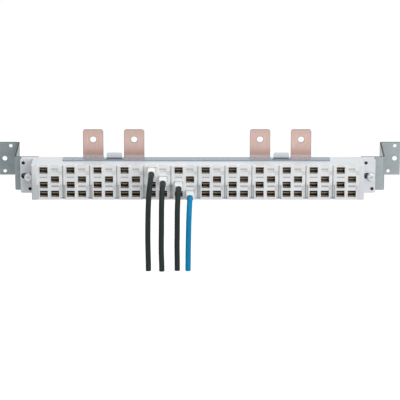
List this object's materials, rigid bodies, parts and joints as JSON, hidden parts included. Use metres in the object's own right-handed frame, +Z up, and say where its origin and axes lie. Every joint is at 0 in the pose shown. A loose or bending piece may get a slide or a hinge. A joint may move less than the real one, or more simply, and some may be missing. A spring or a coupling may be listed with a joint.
{
  "type": "power distribution block",
  "caption": "Long power distribution block: a row of plug-in terminal modules on a carrier with busbars, upright feed lugs and folded end brackets, with wires plugged in.",
  "frame": {"origin": "on the mounting plane behind the brackets, midway between the two bracket bolts", "axes": "+X to the right seen from the front, -Y towards the front face, +Z up"},
  "size_m": [0.5518, 0.1706, 0.1714],
  "materials": {
    "shell": "satin light grey moulding",
    "front": "satin light grey moulding",
    "strip": "smooth blue-grey",
    "clip": "satin light grey",
    "copper": "bare copper strip",
    "bronze": "bare spring strip",
    "zinc": "zinc-plated sheet",
    "screw": "zinc-plated steel",
    "plug": "satin white moulding",
    "wire_black": "satin black insulation",
    "wire_blue": "satin blue insulation"
  },
  "bodies": {
    "root": {"carrier": "shell", "end_cap_left": "shell", "end_cap_right": "shell", "barrier_rail_1": "shell", "barrier_rail_2": "shell", "barrier_rail_3": "shell", "terminal_module_1": "front", "terminal_module_2": "front", "terminal_module_3": "front", "terminal_module_4": "front", "terminal_module_5": "front", "terminal_module_6": "front", "terminal_module_7": "front", "terminal_module_8": "front", "terminal_module_9": "front", "terminal_module_10": "front", "terminal_module_11": "front", "terminal_module_12": "front", "cover_strip": "strip", "cover_clip_left": "clip", "cover_clip_right": "clip", "busbar_row_1": "copper", "busbar_row_2": "copper", "busbar_row_3": "copper", "busbar_row_4": "copper", "feed_lug_row_1": "copper", "feed_lug_row_2": "copper", "feed_lug_row_3": "copper", "feed_lug_row_4": "copper", "lug_rivets": "copper", "plug_blades": "copper", "contact_springs_row_1": "bronze", "contact_springs_row_2": "bronze", "contact_springs_row_3": "bronze", "contact_springs_row_4": "bronze", "bracket_left": "zinc", "bracket_right": "zinc", "mounting_screws": "screw", "mounting_nuts": "screw", "wire_plug_1": "plug", "wire_plug_2": "plug", "wire_plug_3": "plug", "wire_plug_4": "plug", "wire_1": "wire_black", "wire_2": "wire_black", "wire_3": "wire_black", "wire_boot_1": "wire_black", "wire_boot_2": "wire_black", "wire_boot_3": "wire_black", "wire_4": "wire_blue", "wire_boot_4": "wire_blue"}
  },
  "joints": []
}
